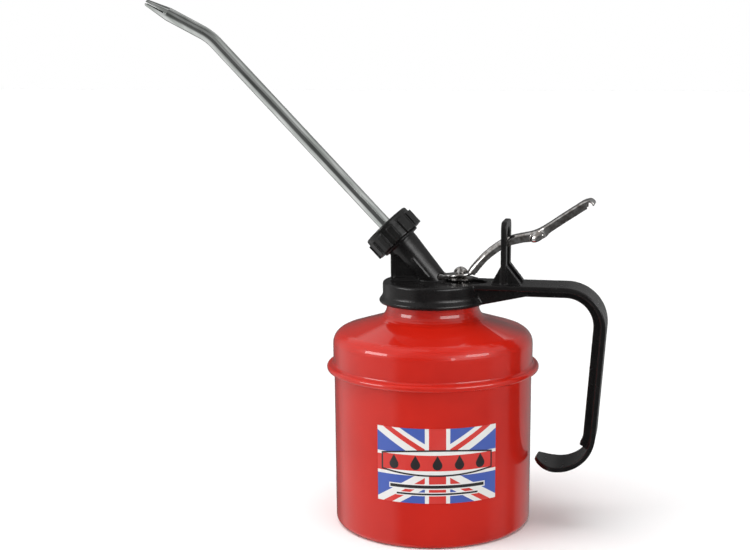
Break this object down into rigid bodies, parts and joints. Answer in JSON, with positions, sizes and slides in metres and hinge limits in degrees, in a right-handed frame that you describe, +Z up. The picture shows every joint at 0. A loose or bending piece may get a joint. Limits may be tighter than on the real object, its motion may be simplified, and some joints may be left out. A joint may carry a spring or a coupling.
{
  "type": "thumb-lever pump oil can",
  "caption": "Round steel oil can with a screw-on moulded pump head, hooked handle, sprung thumb lever and long bent steel spout.",
  "frame": {"origin": "centre of the can's flat base, on the surface that it stands on", "axes": "+Z up along the can's axis, -X towards the spout, +X towards the handle; XZ is the plane of spout and handle"},
  "size_m": [0.2102, 0.0966, 0.2353],
  "materials": {
    "red_enamel": "glossy red stove enamel over drawn sheet steel, inside and out",
    "label": "printed adhesive label with a plain crossed blue, white and red pattern and no lettering",
    "black_nylon": "black moulded nylon with a satin sheen",
    "black_nut": "black moulded nylon, slightly duller than the head",
    "zinc_steel": "zinc-plated steel tube, drawn lengthwise",
    "bright_plate": "bright nickel or chrome plating on pressed and turned steel",
    "brass": "turned brass",
    "rubber": "black nitrile rubber",
    "spring_steel": "drawn spring wire"
  },
  "bodies": {
    "can": {"can_body": "red_enamel", "can_top": "red_enamel", "neck_ring": "zinc_steel", "can_label": "label"},
    "gasket": {"cap_gasket": "rubber"},
    "head": {"head_moulding": "black_nylon", "gland_bush": "bright_plate", "rod_seal": "rubber", "pump_barrel": "brass", "valve_block": "brass", "ball_retainer": "brass", "delivery_tube": "brass", "dip_tube": "zinc_steel", "strainer": "brass", "delivery_spring": "spring_steel", "pump_spring": "spring_steel"},
    "lever": {"thumb_lever": "bright_plate"},
    "plunger": {"plunger_rod": "bright_plate", "dome_nut": "bright_plate", "lift_collar": "bright_plate", "piston": "brass", "cup_seal": "rubber"},
    "inlet_valve": {"inlet_ball": "bright_plate"},
    "delivery_valve": {"delivery_ball": "bright_plate"},
    "spout": {"spout_tube": "zinc_steel", "spout_collar": "zinc_steel", "spout_seal": "rubber"},
    "washer": {"slip_washer": "zinc_steel"},
    "nut": {"spout_nut": "black_nut"}
  },
  "joints": [
    {"name": "head_lift", "type": "slide", "parent": "can", "child": "gasket", "axis": [0, 0, 1], "range_m": [0, 0.00601]},
    {"name": "head_unscrew", "type": "hinge", "parent": "gasket", "child": "head", "pos_m": [0, 0, 0.1], "axis": [0, 0, 1], "range_deg": [0, 540]},
    {"name": "lever_press", "type": "hinge", "parent": "head", "child": "lever", "pos_m": [0.0042, 0, 0.1136], "axis": [0, 1, 0], "range_deg": [0, 14], "stiffness_Nm_per_rad": 0.6, "springref_deg": -14.32},
    {"name": "plunger_stroke", "type": "slide", "parent": "head", "child": "plunger", "axis": [0, 0, 1], "range_m": [-0.0021, 0], "deforming": ["pump_spring"]},
    {"name": "inlet_lift", "type": "slide", "parent": "head", "child": "inlet_valve", "axis": [0, 0, 1], "range_m": [0, 0.0012]},
    {"name": "delivery_lift", "type": "slide", "parent": "head", "child": "delivery_valve", "axis": [0, 0, 1], "range_m": [0, 0.0012], "stiffness_N_per_m": 20, "springref_m": -0.001, "deforming": ["delivery_spring"]},
    {"name": "spout_swivel", "type": "hinge", "parent": "head", "child": "spout", "pos_m": [-0.0217, 0, 0.13615], "axis": [-0.6947, 0, 0.7193], "continuous": true},
    {"name": "nut_travel", "type": "slide", "parent": "head", "child": "washer", "axis": [-0.6947, 0, 0.7193], "range_m": [0, 0.00801]},
    {"name": "nut_unscrew", "type": "hinge", "parent": "washer", "child": "nut", "pos_m": [-0.0217, 0, 0.13615], "axis": [-0.6947, 0, 0.7193], "range_deg": [0, 1440]}
  ],
  "couplings": [
    {"joint": "head_lift", "follows": "head_unscrew", "m_per_rad": 0.00063662},
    {"joint": "plunger_stroke", "follows": "lever_press", "m_per_rad": -0.0085425},
    {"joint": "nut_travel", "follows": "nut_unscrew", "m_per_rad": 0.00031831}
  ]
}
